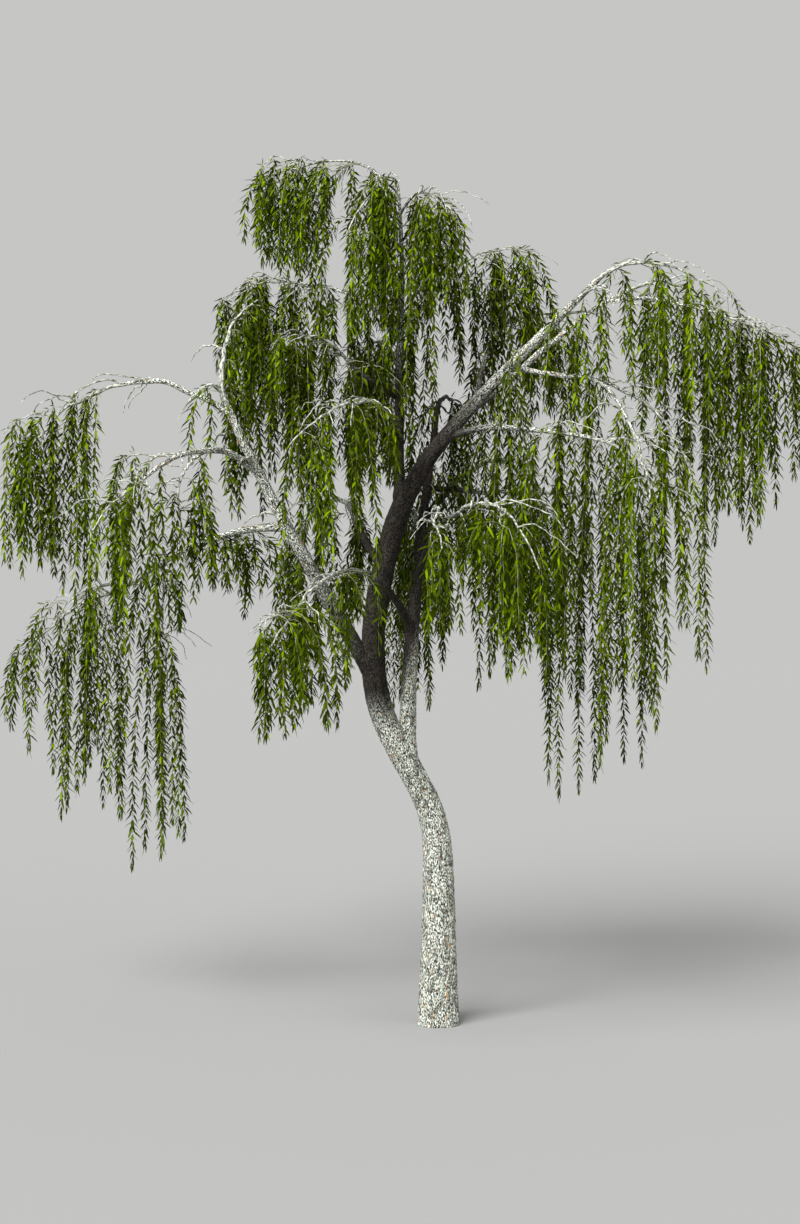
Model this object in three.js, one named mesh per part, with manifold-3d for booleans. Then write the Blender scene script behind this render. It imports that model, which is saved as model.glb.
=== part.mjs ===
// Weeping willow about nine metres tall, standing on the flat cut under its trunk.
// Millimetres, +Z up. +X is to the right and +Y is away from someone who looks at its front.

import * as THREE from "three";
import { mergeVertices } from "three/addons/utils/BufferGeometryUtils.js";
import loadManifold from "manifold-3d";

const wasm = await loadManifold();
wasm.setup();

// Clearances
const GAP = 0.35; // left between two pieces that touch
const SHORTEST_EDGE = 0.02; // shorter edges that a cut leaves are merged away
const LIMB_CLEAR = 45; // kept between foliage and the surface of a limb
const SPACE_MARGIN = 25; // kept between foliage and the edge of its own space

// Limbs
const TRUNK_SIDES = 12;
const TRUNK_RINGS = 10;
const THICK_LIMB = { sides: 8, rings: 7 };
const THIN_LIMB = { sides: 5, rings: 5 };
const THICK_FROM = 50; // root radius from which a limb is a thick one
const BEND = 0.36; // how far a limb keeps its first and last direction, as a share of its reach

// Foliage
const STEM_SIDES = 4;
const STEM_RINGS = 3;
const STEM_TIP_RADIUS = 18;
const STRAND_SIDES = 3;
const STRAND_RINGS = 3;
const STRAND_RADII = [9, 6];
const STRAND_TRIES = 20;
const LONGEST_CUT = 0.45; // how much shorter than its hem allows a strand may be
const STRAND_APART = 90; // kept between the strands of one mass, below where they leave the stem
const LEAF = { length: 460, width: 105, thick: 16, widest: 0.42, spacing: 374, angle: 24, sunk: 6, hang: 380 };

// Trunk axis: height above the ground, shift to the right, radius
const TRUNK = [
  [0, 0, 204],
  [500, 0, 186],
  [1200, 0, 163],
  [1850, -12, 144],
  [2220, -92, 131],
  [2480, -221, 126],
  [2730, -350, 125],
];

// Stems and main boughs. Each starts inside the limb it is on, at a share of that limb, and ends at its tip.
// out and end are its first and last directions: heading around the tree, from +X, and pitch above level.
const LIMBS = [
  { name: "left_stem", on: "trunk", at: 0.995, tip: [-350, -150, 5480], out: [180, 54], end: [0, 75], radii: [128, 104] },
  { name: "right_stem", on: "trunk", at: 0.96, tip: [-20, 350, 6240], out: [100, 88], end: [60, 76], radii: [92, 30] },
  { name: "right_bough", on: "left_stem", at: 0.98, tip: [1540, -900, 7470], out: [-20, 54], end: [-22, 42], radii: [90, 27] },
  { name: "leader", on: "left_stem", at: 0.95, tip: [-410, 0, 8530], out: [120, 85], end: [180, 86], radii: [56, 15] },
  { name: "left_bough", on: "left_stem", at: 0.33, tip: [-2110, -600, 6260], out: [197, 58], end: [198, 66], radii: [84, 38] },
  { name: "left_outer", on: "left_bough", at: 0.97, tip: [-3110, -650, 6480], out: [184, 38], end: [180, -12], radii: [32, 20] },
  { name: "left_middle", on: "left_bough", at: 0.77, tip: [-2740, -1700, 5510], out: [228, 34], end: [230, -34], radii: [38, 18] },
  { name: "left_inner", on: "left_middle", at: 0.5, tip: [-2520, -1150, 5470], out: [150, -25], end: [170, -75], radii: [16, 12] },
  { name: "left_lower", on: "left_bough", at: 0.57, tip: [-3010, 400, 4650], out: [156, 6], end: [153, -26], radii: [46, 25] },
  { name: "left_trailing", on: "left_lower", at: 0.86, tip: [-2950, 1000, 4330], out: [105, -5], end: [100, -55], radii: [19, 12] },
  { name: "left_front", on: "right_stem", at: 0.37, tip: [-1050, -1700, 4550], out: [242, 50], end: [245, -14], radii: [42, 18] },
  { name: "mid_left", on: "leader", at: 0.17, tip: [-760, -1300, 6230], out: [252, 42], end: [250, -12], radii: [30, 16] },
  { name: "top_left", on: "leader", at: 0.97, tip: [-970, 450, 8950], out: [150, 48], end: [145, 6], radii: [15, 11] },
  { name: "top_right", on: "leader", at: 0.93, tip: [-140, -350, 8440], out: [300, 35], end: [312, -25], radii: [14, 11] },
  { name: "upper_left", on: "leader", at: 0.57, tip: [-1290, 500, 7660], out: [152, 32], end: [150, 10], radii: [26, 14] },
  { name: "upper_mid_left", on: "leader", at: 0.33, tip: [-1020, -350, 6860], out: [205, 24], end: [208, 46], radii: [26, 15] },
  { name: "upper_right", on: "leader", at: 0.6, tip: [280, 350, 7870], out: [12, 16], end: [30, 36], radii: [24, 13] },
  { name: "rear_upper", on: "leader", at: 0.42, tip: [-700, 1250, 7150], out: [100, 36], end: [104, 2], radii: [26, 14] },
  { name: "right_rear", on: "right_bough", at: 0.4, tip: [860, 1000, 7390], out: [80, 32], end: [62, 14], radii: [28, 14] },
  { name: "right_outer", on: "right_bough", at: 0.34, tip: [2210, 500, 7680], out: [24, 34], end: [24, 20], radii: [38, 17] },
  { name: "right_far", on: "right_outer", at: 0.8, tip: [2900, -200, 7220], out: [-25, 4], end: [-32, -24], radii: [20, 13] },
  { name: "right_middle", on: "right_bough", at: 0.58, tip: [1990, -600, 6330], out: [4, -8], end: [0, -32], radii: [28, 15] },
  { name: "right_drop", on: "right_middle", at: 0.6, tip: [1720, -1900, 5980], out: [285, -12], end: [282, -36], radii: [18, 12] },
  { name: "right_lower", on: "right_bough", at: 0.24, tip: [1460, -950, 5920], out: [-28, 14], end: [-22, -14], radii: [38, 18] },
  { name: "right_back", on: "right_stem", at: 0.8, tip: [1110, 900, 5500], out: [22, -4], end: [35, 4], radii: [30, 17] },
  { name: "right_front", on: "right_stem", at: 0.52, tip: [400, -1500, 5250], out: [-72, 48], end: [-62, 0], radii: [34, 17] },
  { name: "front_drop", on: "right_front", at: 0.52, tip: [-60, -1700, 5110], out: [232, 28], end: [255, -28], radii: [19, 12] },
  { name: "rear_left", on: "left_stem", at: 0.72, tip: [-1150, 1600, 5450], out: [130, 38], end: [112, -4], radii: [40, 18] },
  { name: "rear_mid", on: "right_stem", at: 0.6, tip: [-250, 1700, 5300], out: [92, 36], end: [90, -8], radii: [34, 17] },
  { name: "rear_right", on: "right_stem", at: 0.7, tip: [750, 1750, 5900], out: [58, 36], end: [62, 0], radii: [34, 17] },
];

// Masses of foliage. The stem of each goes on from the tip of its bough, and its strands hang to the hem:
// their lowest height near the start of the stem, and near its end. spread is how far they stand out sideways.
const MASSES = [
  { name: "left_outer", on: "left_outer", tip: [-4140, -750, 5690], end: [182, -62], spread: 430, hem: [4100, 4730] },
  { name: "left_top", on: "left_bough", tip: [-1830, -300, 7370], end: [40, 30], spread: 420, hem: [5500, 6300] },
  { name: "left_middle", on: "left_middle", tip: [-3180, -2300, 4940], end: [228, -58], spread: 460, hem: [3650, 3800] },
  { name: "left_inner", on: "left_inner", tip: [-2500, -1200, 4950], end: [250, -84], spread: 330, hem: [4350, 4200] },
  { name: "left_lower", on: "left_lower", tip: [-4470, 900, 3760], end: [160, -46], spread: 460, hem: [1800, 2850] },
  { name: "left_trailing", on: "left_trailing", tip: [-2960, 1500, 3400], end: [95, -62], spread: 380, hem: [1280, 1700] },
  { name: "left_front", on: "left_front", tip: [-1630, -2500, 3770], end: [228, -52], spread: 440, hem: [3060, 2950] },
  { name: "mid_left", on: "mid_left", tip: [-1400, -2200, 5740], end: [232, -46], spread: 420, hem: [4400, 4550] },
  { name: "top_left", on: "top_left", tip: [-1920, 900, 8820], end: [160, -26], spread: 360, hem: [7190, 8100] },
  { name: "top_centre", on: "leader", tip: [-940, -800, 7880], end: [235, -62], spread: 470, hem: [6900, 6840] },
  { name: "top_right", on: "top_right", tip: [220, -700, 8070], end: [318, -48], spread: 330, hem: [7040, 7250] },
  { name: "upper_left", on: "upper_left", tip: [-2300, 900, 7570], end: [168, -34], spread: 420, hem: [5730, 6710] },
  { name: "upper_mid_left", on: "upper_mid_left", tip: [-1500, -700, 6870], end: [218, -40], spread: 400, hem: [4800, 5100] },
  { name: "upper_right", on: "upper_right", tip: [1080, 600, 7980], end: [18, -20], spread: 380, hem: [6450, 6900] },
  { name: "rear_upper", on: "rear_upper", tip: [-1000, 2200, 6750], end: [108, -44], spread: 430, hem: [5500, 5400] },
  { name: "right_rear", on: "right_rear", tip: [1630, 1700, 7310], end: [42, -36], spread: 420, hem: [6150, 6200] },
  { name: "right_high", on: "right_bough", tip: [2480, -1300, 7370], end: [-26, -42], spread: 400, hem: [6300, 6000] },
  { name: "right_outer", on: "right_outer", tip: [2970, 1000, 7470], end: [34, -38], spread: 430, hem: [5400, 5250] },
  { name: "right_far", on: "right_far", tip: [3600, -400, 6830], end: [-8, -52], spread: 330, hem: [4850, 5700] },
  { name: "right_middle", on: "right_middle", tip: [2520, -700, 5330], end: [0, -82], spread: 400, hem: [4300, 3450] },
  { name: "right_drop", on: "right_drop", tip: [1840, -2500, 5220], end: [284, -74], spread: 400, hem: [4330, 4200] },
  { name: "right_lower", on: "right_lower", tip: [2110, -1150, 5180], end: [-12, -66], spread: 420, hem: [3460, 2790] },
  { name: "right_back", on: "right_back", tip: [2250, 1500, 5240], end: [22, -36], spread: 460, hem: [1930, 2750] },
  { name: "right_front", on: "right_front", tip: [860, -2400, 4600], end: [-58, -54], spread: 440, hem: [3600, 3500] },
  { name: "front_drop", on: "front_drop", tip: [-20, -2450, 4790], end: [272, -54], spread: 230, hem: [3930, 3880] },
  { name: "rear_high", on: "right_stem", tip: [250, 1300, 6350], end: [72, -34], spread: 430, hem: [4650, 4500] },
  { name: "rear_left", on: "rear_left", tip: [-1750, 2800, 4900], end: [122, -48], spread: 470, hem: [3500, 3200] },
  { name: "rear_mid", on: "rear_mid", tip: [-250, 2900, 4650], end: [96, -50], spread: 450, hem: [3100, 2950] },
  { name: "rear_right", on: "rear_right", tip: [1250, 2800, 5350], end: [62, -46], spread: 470, hem: [3450, 3300] },
];
const STRANDS_PER_MASS = 5;

// Colours from the bark and the leaves
const BARK_PALE = { color: 0xb3b7ae, roughness: 0.9 };
const BARK_SHADED = { color: 0x6b6259, roughness: 0.92 };
const LEAF_GREEN = { color: 0x6a8c1c, roughness: 0.6 };
const PALE_LIMBS = ["trunk", "right_stem", "left_middle", "left_outer", "right_lower", "right_outer"];

// Numbers that look random and are the same on every run
function makeRandom(seed) {
  let state = seed >>> 0;
  return () => {
    state = (Math.imul(state, 1664525) + 1013904223) >>> 0;
    return state / 4294967296;
  };
}

function mix(from, to, share) {
  return from + (to - from) * share;
}

// Unit vector of a heading around the tree and a pitch above level, in degrees
function direction(heading, pitch) {
  const turn = THREE.MathUtils.degToRad(heading);
  const lift = THREE.MathUtils.degToRad(pitch);
  const level = Math.cos(lift);
  return new THREE.Vector3(level * Math.cos(turn), level * Math.sin(turn), Math.sin(lift));
}

// Curve from a root to a tip that keeps its first and last directions for a share of its reach
function limbCurve(root, tip, out, end) {
  const hold = root.distanceTo(tip) * BEND;
  const afterRoot = root.clone().addScaledVector(direction(...out), hold);
  const beforeTip = tip.clone().addScaledVector(direction(...end), -hold);
  return new THREE.CubicBezierCurve3(root, afterRoot, beforeTip, tip);
}

// Two unit vectors across a curve. The first stays as near to the given level vector as it can.
function acrossAt(curve, share, level) {
  const along = curve.getTangent(share);
  const side = level.clone().addScaledVector(along, -level.dot(along)).normalize();
  const top = new THREE.Vector3().crossVectors(side, along);
  return { along, side, top };
}

// Closed tapering tube: a cylinder whose rings are carried along the curve
function tubeGeometry(path, sides, rings, grown = 0) {
  const geometry = new THREE.CylinderGeometry(1, 1, 1, sides, rings);
  const position = geometry.getAttribute("position");
  const corner = new THREE.Vector3();
  for (let i = 0; i < position.count; i += 1) {
    corner.fromBufferAttribute(position, i);
    const share = Math.round((corner.y + 0.5) * rings) / rings;
    const { along, side, top } = acrossAt(path.curve, share, path.level);
    const radius = path.radiusAt(share) + grown;
    const point = path.curve.getPoint(share);
    point.addScaledVector(side, corner.x * radius);
    point.addScaledVector(top, corner.z * radius);
    if (share === 0) point.addScaledVector(along, -grown);
    if (share === 1) point.addScaledVector(along, grown);
    position.setXYZ(i, point.x, point.y, point.z);
  }
  return geometry;
}

function toSolid(geometry) {
  const bare = geometry.clone();
  bare.deleteAttribute("normal");
  bare.deleteAttribute("uv");
  const merged = mergeVertices(bare, 1e-4);
  const mesh = new wasm.Mesh({
    numProp: 3,
    vertProperties: new Float32Array(merged.getAttribute("position").array),
    triVerts: new Uint32Array(merged.getIndex().array),
  });
  return new wasm.Manifold(mesh);
}

function toGeometry(solid, origin) {
  const mesh = solid.getMesh();
  const geometry = new THREE.BufferGeometry();
  geometry.setAttribute("position", new THREE.BufferAttribute(new Float32Array(mesh.vertProperties), 3));
  geometry.setIndex(new THREE.BufferAttribute(new Uint32Array(mesh.triVerts), 1));
  geometry.translate(-origin.x, -origin.y, -origin.z);
  geometry.computeVertexNormals();
  return geometry;
}

function largestBody(solid) {
  const bodies = solid.decompose();
  bodies.sort((a, b) => b.volume() - a.volume());
  return bodies[0];
}

function cutClear(solid, blockers) {
  let cut = solid;
  for (const blocker of blockers) cut = cut.subtract(blocker.grownSolid);
  return largestBody(cut).simplify(SHORTEST_EDGE);
}

function nodeMesh(name, solid, origin, look) {
  const material = new THREE.MeshStandardMaterial({ ...look, metalness: 0, flatShading: true });
  const mesh = new THREE.Mesh(toGeometry(solid, origin), material);
  mesh.name = name;
  mesh.position.copy(origin);
  return mesh;
}

// Trunk
function makeTrunk() {
  const points = TRUNK.map(([height, shift]) => new THREE.Vector3(shift, 0, height));
  const curve = new THREE.CatmullRomCurve3(points, false, "catmullrom", 0.5);
  const steps = TRUNK.length - 1;
  const radiusAt = (share) => {
    const low = Math.min(Math.floor(share * steps), steps - 1);
    return mix(TRUNK[low][2], TRUNK[low + 1][2], share * steps - low);
  };
  const path = { name: "trunk", curve, radiusAt, level: new THREE.Vector3(0, 1, 0) };
  path.solid = toSolid(tubeGeometry(path, TRUNK_SIDES, TRUNK_RINGS)).trimByPlane([0, 0, 1], 0);
  path.grownSolid = toSolid(tubeGeometry(path, TRUNK_SIDES, TRUNK_RINGS, GAP));
  return path;
}

// Stems and boughs
function makeLimb(row, limbs) {
  const parent = limbs.get(row.on);
  const root = parent.curve.getPoint(row.at);
  const curve = limbCurve(root, new THREE.Vector3(...row.tip), row.out, row.end);
  const radiusAt = (share) => mix(row.radii[0], row.radii[1], share);
  const path = { name: row.name, curve, radiusAt, level: direction(row.out[0] + 90, 0) };
  const { sides, rings } = row.radii[0] > THICK_FROM ? THICK_LIMB : THIN_LIMB;
  path.grownSolid = toSolid(tubeGeometry(path, sides, rings, GAP));
  path.solid = cutClear(toSolid(tubeGeometry(path, sides, rings)), limbs.values());
  path.end = row.end;
  return path;
}

// Foliage: the stem of a mass, which goes on from the tip of its bough
function makeMass(row, limbs, index) {
  const bough = limbs.get(row.on);
  const root = bough.curve.getPoint(1).addScaledVector(bough.curve.getTangent(1), GAP);
  const curve = limbCurve(root, new THREE.Vector3(...row.tip), bough.end, row.end);
  const rootRadius = bough.radiusAt(1) * 0.9;
  const tipRadius = Math.min(STEM_TIP_RADIUS, rootRadius * 0.8);
  const radiusAt = (share) => mix(rootRadius, tipRadius, share);
  const line = [0, 0.2, 0.4, 0.6, 0.8, 1].map((share) => curve.getPoint(share));
  const top = Math.max(...line.map((point) => point.z)) + 120;
  const bottom = Math.min(...row.hem) - 60;
  return { ...row, curve, radiusAt, level: direction(bough.end[0] + 90, 0), line, top, bottom, seed: 101 + 7 * index };
}

// Distance from a point to a line of points, seen from above or in space
function lineDistance(point, line, fromAbove) {
  let nearest = Infinity;
  for (let i = 0; i + 1 < line.length; i += 1) {
    const start = line[i];
    const dx = line[i + 1].x - start.x;
    const dy = line[i + 1].y - start.y;
    const dz = fromAbove ? 0 : line[i + 1].z - start.z;
    const px = point.x - start.x;
    const py = point.y - start.y;
    const pz = fromAbove ? 0 : point.z - start.z;
    const length = dx * dx + dy * dy + dz * dz;
    const share = Math.min(1, Math.max(0, (px * dx + py * dy + pz * dz) / length));
    nearest = Math.min(nearest, Math.hypot(px - share * dx, py - share * dy, pz - share * dz));
  }
  return nearest;
}

// The space of a mass is what lies nearer to its stem, seen from above, than to any other mass at that height
function inOwnSpace(point, mass, masses) {
  const own = lineDistance(point, mass.line, true);
  for (const other of masses) {
    if (other === mass || point.z > other.top || point.z < other.bottom) continue;
    if (lineDistance(point, other.line, true) < own + 2 * SPACE_MARGIN) return false;
  }
  return true;
}

function clearOfLimbs(point, limbs) {
  for (const limb of limbs.values()) {
    const room = limb.radiusAt(0) + LIMB_CLEAR;
    if (lineDistance(point, limb.line, false) < room) return false;
  }
  return true;
}

function clearOfStrands(point, strands, room) {
  return strands.every((strand) => lineDistance(point, strand.line, false) >= room);
}

// One strand: it leaves the stem sideways, arches over and falls straight to its lowest point
function drawStrand(mass, index, count, random) {
  const share = mix(0.12, 1, Math.min(1, (index + random()) / count));
  const root = mass.curve.getPoint(share);
  const along = mass.curve.getTangent(share);
  const side = index % 2 === 0 ? 1 : -1;
  const heading = THREE.MathUtils.radToDeg(Math.atan2(along.y, along.x)) + side * mix(25, 95, random());
  const away = mass.spread * mix(0.25, 1, random());
  const hem = mix(mass.hem[0], mass.hem[1], share) + LEAF.hang;
  const foot = root.clone().addScaledVector(direction(heading, 0), away);
  const short = random() * random() * LONGEST_CUT;
  foot.z = hem + (index % 3 === 0 ? 0 : short) * Math.max(0, root.z - hem);
  const drop = root.z - foot.z;
  const afterRoot = root.clone().addScaledVector(direction(heading, 20), away * 0.75);
  const beforeFoot = foot.clone();
  beforeFoot.z += drop * 0.65;
  const curve = new THREE.CubicBezierCurve3(root, afterRoot, beforeFoot, foot);
  const line = [0.15, 0.3, 0.45, 0.6, 0.75, 0.9, 1].map((point) => curve.getPoint(point));
  return { curve, line, length: curve.getLength(), level: direction(heading + 90, 0), longEnough: drop > 250 };
}

function strandFits(strand, strands, mass, masses, limbs) {
  const points = strand.line;
  if (!points.every((point) => inOwnSpace(point, mass, masses) && clearOfLimbs(point, limbs))) return false;
  return points.slice(1).every((point) => clearOfStrands(point, strands, STRAND_APART));
}

function strandsOf(mass, masses, limbs) {
  const random = makeRandom(mass.seed);
  const strands = [];
  for (let index = 0; index < STRANDS_PER_MASS; index += 1) {
    for (let attempt = 0; attempt < STRAND_TRIES; attempt += 1) {
      const strand = drawStrand(mass, index, STRANDS_PER_MASS, random);
      if (!strand.longEnough || !strandFits(strand, strands, mass, masses, limbs)) continue;
      strands.push(strand);
      break;
    }
  }
  return strands;
}

// Leaf spray: a blade of triangular section, pointed at both ends
function leafSolid(root, pointing, outward) {
  const ridge = outward.clone().addScaledVector(pointing, -outward.dot(pointing)).normalize();
  const across = new THREE.Vector3().crossVectors(ridge, pointing).normalize();
  const start = root.clone().addScaledVector(pointing, -LEAF.sunk);
  const middle = start.clone().addScaledVector(pointing, LEAF.length * LEAF.widest);
  const tip = start.clone().addScaledVector(pointing, LEAF.length);
  const left = middle.clone().addScaledVector(across, LEAF.width / 2);
  const right = middle.clone().addScaledVector(across, -LEAF.width / 2);
  const top = middle.clone().addScaledVector(ridge, LEAF.thick);
  const corners = [start, left, top, right, tip];
  const faces = [0, 2, 1, 0, 3, 2, 0, 1, 3, 4, 1, 2, 4, 2, 3, 4, 3, 1];
  const geometry = new THREE.BufferGeometry().setFromPoints(corners);
  geometry.setIndex(faces);
  return { solid: toSolid(geometry), tip, middle };
}

// Point on the straight run between two rings of a strand, its direction, and the way out of one of its sides
function onStrand(strand, share, face, sway) {
  const low = Math.min(Math.floor(share * STRAND_RINGS), STRAND_RINGS - 1);
  const start = strand.curve.getPoint(low / STRAND_RINGS);
  const end = strand.curve.getPoint((low + 1) / STRAND_RINGS);
  const along = end.clone().sub(start).normalize();
  const { side, top } = acrossAt(strand.curve, (low + 1) / STRAND_RINGS, strand.level);
  const turn = THREE.MathUtils.degToRad(((face + 0.5) * 360) / STRAND_SIDES + sway);
  const outward = side.multiplyScalar(Math.sin(turn)).addScaledVector(top, Math.cos(turn));
  return { root: start.lerp(end, share * STRAND_RINGS - low), along, outward };
}

function leavesOf(strand, strands, mass, masses, limbs, random) {
  const leaves = [];
  const count = Math.max(2, Math.round(strand.length / LEAF.spacing));
  const firstFace = Math.floor(random() * STRAND_SIDES);
  for (let index = 0; index < count; index += 1) {
    const share = Math.min(0.985, mix(0.24, 1, (index + 0.7) / (count - 0.3)));
    const { root, along, outward } = onStrand(strand, share, index + firstFace, mix(-15, 15, random()));
    const tilt = mix(0.7, 1.3, random()) * LEAF.angle;
    const pointing = along.clone().multiplyScalar(Math.cos(THREE.MathUtils.degToRad(tilt)));
    pointing.addScaledVector(outward, Math.sin(THREE.MathUtils.degToRad(tilt))).normalize();
    const leaf = leafSolid(root, pointing, outward);
    const tests = [leaf.tip, leaf.middle];
    const others = strands.filter((other) => other !== strand);
    const free = (point) => inOwnSpace(point, mass, masses) && clearOfLimbs(point, limbs);
    if (tests.every((point) => free(point) && clearOfStrands(point, others, LEAF.width / 2))) leaves.push(leaf.solid);
  }
  return leaves;
}

function massSolid(mass, masses, limbs) {
  const parts = [toSolid(tubeGeometry(mass, STEM_SIDES, STEM_RINGS))];
  const random = makeRandom(mass.seed + 5000);
  const strands = strandsOf(mass, masses, limbs);
  for (const strand of strands) {
    const path = { ...strand, radiusAt: (share) => mix(STRAND_RADII[0], STRAND_RADII[1], share) };
    parts.push(toSolid(tubeGeometry(path, STRAND_SIDES, STRAND_RINGS)));
    parts.push(...leavesOf(strand, strands, mass, masses, limbs, random));
  }
  return cutClear(wasm.Manifold.union(parts), limbs.values());
}

// Whole tree
function buildTree() {
  const limbs = new Map([["trunk", makeTrunk()]]);
  for (const row of LIMBS) limbs.set(row.name, makeLimb(row, limbs));
  for (const limb of limbs.values()) {
    limb.line = [0, 0.125, 0.25, 0.375, 0.5, 0.625, 0.75, 0.875, 1].map((share) => limb.curve.getPoint(share));
  }
  const masses = MASSES.map((row, index) => makeMass(row, limbs, index));

  const tree = new THREE.Group();
  const wood = new THREE.Group();
  const foliage = new THREE.Group();
  for (const limb of limbs.values()) {
    const look = PALE_LIMBS.includes(limb.name) ? BARK_PALE : BARK_SHADED;
    wood.add(nodeMesh(limb.name, limb.solid, limb.curve.getPoint(0), look));
  }
  for (const mass of masses) {
    foliage.add(nodeMesh(`foliage_${mass.name}`, massSolid(mass, masses, limbs), mass.curve.getPoint(0), LEAF_GREEN));
  }
  tree.add(wood, foliage);
  return tree;
}

export default buildTree();
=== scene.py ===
"""Weeping willow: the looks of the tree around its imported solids.

The tables and the rule of growth are those of the part's source, in millimetres. Meshes are made in metres.
+X is to the right and +Y is away from someone who looks at the front.
"""

from types import SimpleNamespace

import bpy
import numpy as np
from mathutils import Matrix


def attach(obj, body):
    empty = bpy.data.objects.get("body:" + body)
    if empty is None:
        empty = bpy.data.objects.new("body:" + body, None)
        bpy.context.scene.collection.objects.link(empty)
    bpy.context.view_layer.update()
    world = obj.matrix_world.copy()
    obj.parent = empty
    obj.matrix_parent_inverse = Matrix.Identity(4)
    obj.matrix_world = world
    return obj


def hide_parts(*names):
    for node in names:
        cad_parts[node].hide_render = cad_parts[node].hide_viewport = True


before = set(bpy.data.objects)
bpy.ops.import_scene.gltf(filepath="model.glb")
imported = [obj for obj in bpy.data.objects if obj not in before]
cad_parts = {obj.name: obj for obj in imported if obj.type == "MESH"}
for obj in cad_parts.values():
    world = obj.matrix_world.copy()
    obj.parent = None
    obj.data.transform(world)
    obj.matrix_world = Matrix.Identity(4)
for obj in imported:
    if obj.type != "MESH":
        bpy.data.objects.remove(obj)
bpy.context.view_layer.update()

MM = 0.001

# Rule of the source
GAP = 0.35
LIMB_CLEAR = 45
SPACE_MARGIN = 25
SPACE_ABOVE = 120
SPACE_BELOW = 60
BEND = 0.36
STRANDS_PER_MASS = 5
STRAND_TRIES = 20
STRAND_APART = 90
LONGEST_CUT = 0.45
SOURCE_HANG = 380
SOURCE_SEED = 101
SOURCE_SEED_STEP = 7

# Finer growth
FINE_CLEAR = 14
FINE_APART = 118
FINE_HANG = 110
SIDE_STEMS = 5
WHIPS = 3
FINE_STRANDS = 5
COMPANIONS = [0.85, 0.5]  # the share of strands with a first and, of those, with a second
STRAND_RADII = [4.2, 1.7]
CROOK = {"limb": 9, "stem": 17, "side": 15, "strand": 9}
SEEDS = {"limb": 300, "stem": 500, "growth": 900, "strand": 7000}
STRAND_SEEDS = 40  # set aside for each mass

# What each growth is drawn from. Turns, rises and droops are in degrees, and depths, drops, the floor
# and radii in millimetres. So are reaches and falls over 10. Smaller ones and the rest are shares.
# A drop is the least height of a strand, a cut shortens it, and its bare share has no leaves.
SOURCE_RULE = SimpleNamespace(first=0.12, turn=[25, 95], reach=[0.25, 1], drop=250)
FINE_RULE = SimpleNamespace(turn=[15, 100], reach=[0.12, 1], drop=260, cut=0.75, bare=[0.02, 0.22])
BOUGH_RULE = SimpleNamespace(
    start=[0.3, 0.98], reach=[110, 420], fall=[600, 1650], drop=350, bare=[0.1, 0.3], floor=4050
)
PLUME_RULE = SimpleNamespace(reach=[40, 560], depth=[-300, 300], drop=350, bare=[0.08, 0.34], tries=60)
COMPANION_RULE = SimpleNamespace(
    start=[0.04, 0.3], reach=[22, 60], drop=350, cut=[0.02, 0.4], bare=0.06, radii=[2.6, 1.4]
)
SIDE_RULE = SimpleNamespace(
    on_bough=[0.6, 0.97], on_stem=[0.02, 0.62], turn=[14, 60], reach=[0.8, 1.7], fall=[-0.62, -0.08],
    rise=[8, 40], droop=[-70, -35], thick=0.6, first=0.12, away=0.5,
    hem_on_bough=[0, 0.3], hem_on_stem=0.45,
)

# Where the photo shows sky or little foliage, in its own pixels: left, right, top and bottom,
# and the share of the columns there that keep their strands
THIN = [
    [362, 384, 455, 508, 0], [455, 470, 585, 640, 0], [196, 236, 612, 900, 0], [428, 470, 668, 900, 0],
    [470, 548, 705, 900, 0], [110, 230, 392, 424, 0], [225, 246, 690, 900, 0], [184, 226, 300, 368, 0],
    [345, 395, 610, 900, 0], [614, 640, 262, 405, 0.1], [640, 662, 440, 560, 0.15], [636, 664, 560, 720, 0],
    [590, 640, 420, 640, 0.2], [664, 712, 440, 640, 0.3], [660, 720, 260, 430, 0.45],
    [720, 800, 300, 560, 0.6], [395, 470, 520, 640, 0.15], [302, 330, 470, 570, 0],
    [330, 350, 400, 545, 0.5], [380, 400, 490, 560, 0.1], [238, 276, 590, 770, 0.2],
    [300, 346, 235, 292, 0.1], [404, 470, 300, 420, 0.3], [142, 164, 430, 570, 0.4],
    [164, 196, 430, 570, 0], [172, 196, 570, 860, 0.1], [132, 160, 640, 870, 0.1],
    [60, 124, 585, 645, 0.35], [42, 58, 570, 800, 0], [80, 100, 640, 800, 0.3], [18, 42, 390, 470, 0.2],
    [318, 372, 150, 240, 0], [404, 470, 170, 300, 0.45], [468, 492, 190, 330, 0.15],
    [205, 232, 270, 400, 0.3], [500, 600, 250, 310, 0.45], [562, 600, 310, 430, 0.25],
    [78, 100, 370, 430, 0.3], [232, 250, 150, 320, 0.15], [534, 562, 235, 305, 0],
    [478, 498, 240, 330, 0.2], [508, 520, 260, 330, 0.2], [495, 600, 412, 465, 0.15],
    [498, 560, 395, 482, 0.1], [350, 368, 150, 260, 0], [540, 590, 620, 690, 0.4],
]
COLUMN = 8
COLUMN_SEED = 3

# Boughs that the photo shows bare, in its own pixels: left, right, top, bottom
BARE_WOOD = [
    [226, 262, 372, 450], [252, 300, 436, 515], [288, 334, 495, 600],
    [402, 430, 430, 665], [428, 480, 372, 450], [214, 290, 508, 545],
]
IN_FRONT = -250  # strands further back than this may hang behind them

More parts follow.
